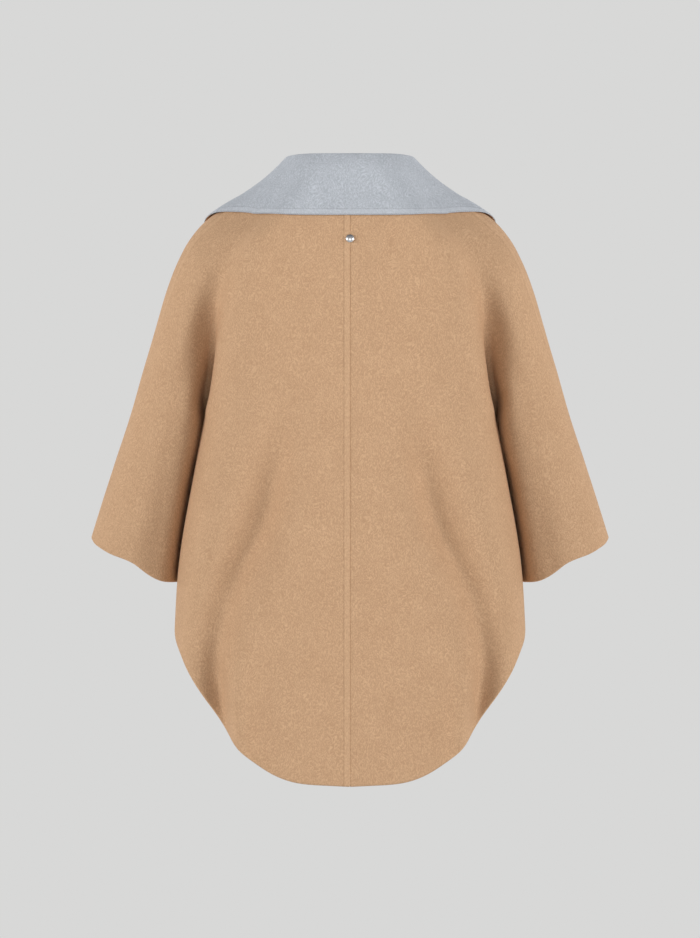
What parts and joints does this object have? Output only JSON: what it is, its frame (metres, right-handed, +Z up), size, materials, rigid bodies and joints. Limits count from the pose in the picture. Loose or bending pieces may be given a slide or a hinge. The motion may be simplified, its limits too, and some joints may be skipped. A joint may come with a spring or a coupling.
{
  "type": "double-breasted cape coat",
  "caption": "Hip-length wool cape coat, worn and filled out: wide elbow-length sleeves cut in one with the back, big turned-over collar, deep rounded back hem.",
  "frame": {"origin": "middle of the neck opening, at the height of the neck seam at the centre back", "axes": "+Z up, towards the wearer's head; +Y out of the coat's back; -Y out of its front; +X towards the wearer's left"},
  "size_m": [0.6502, 0.2929, 0.7898],
  "materials": {
    "camel_wool": "brushed double-faced wool, camel face outward",
    "blue_grey_wool": "reverse face of the same wool, pale blue-grey",
    "dark_horn": "polished dark horn",
    "polished_silver": "polished silver-coloured metal"
  },
  "bodies": {
    "root": {"back_left": "camel_wool", "back_right": "camel_wool", "front_left": "camel_wool", "front_right": "camel_wool", "lapel_left": "blue_grey_wool", "lapel_right": "blue_grey_wool", "collar": "blue_grey_wool", "button_1": "dark_horn", "button_2": "dark_horn", "button_3": "dark_horn", "button_4": "dark_horn", "back_stud": "polished_silver"}
  },
  "joints": []
}
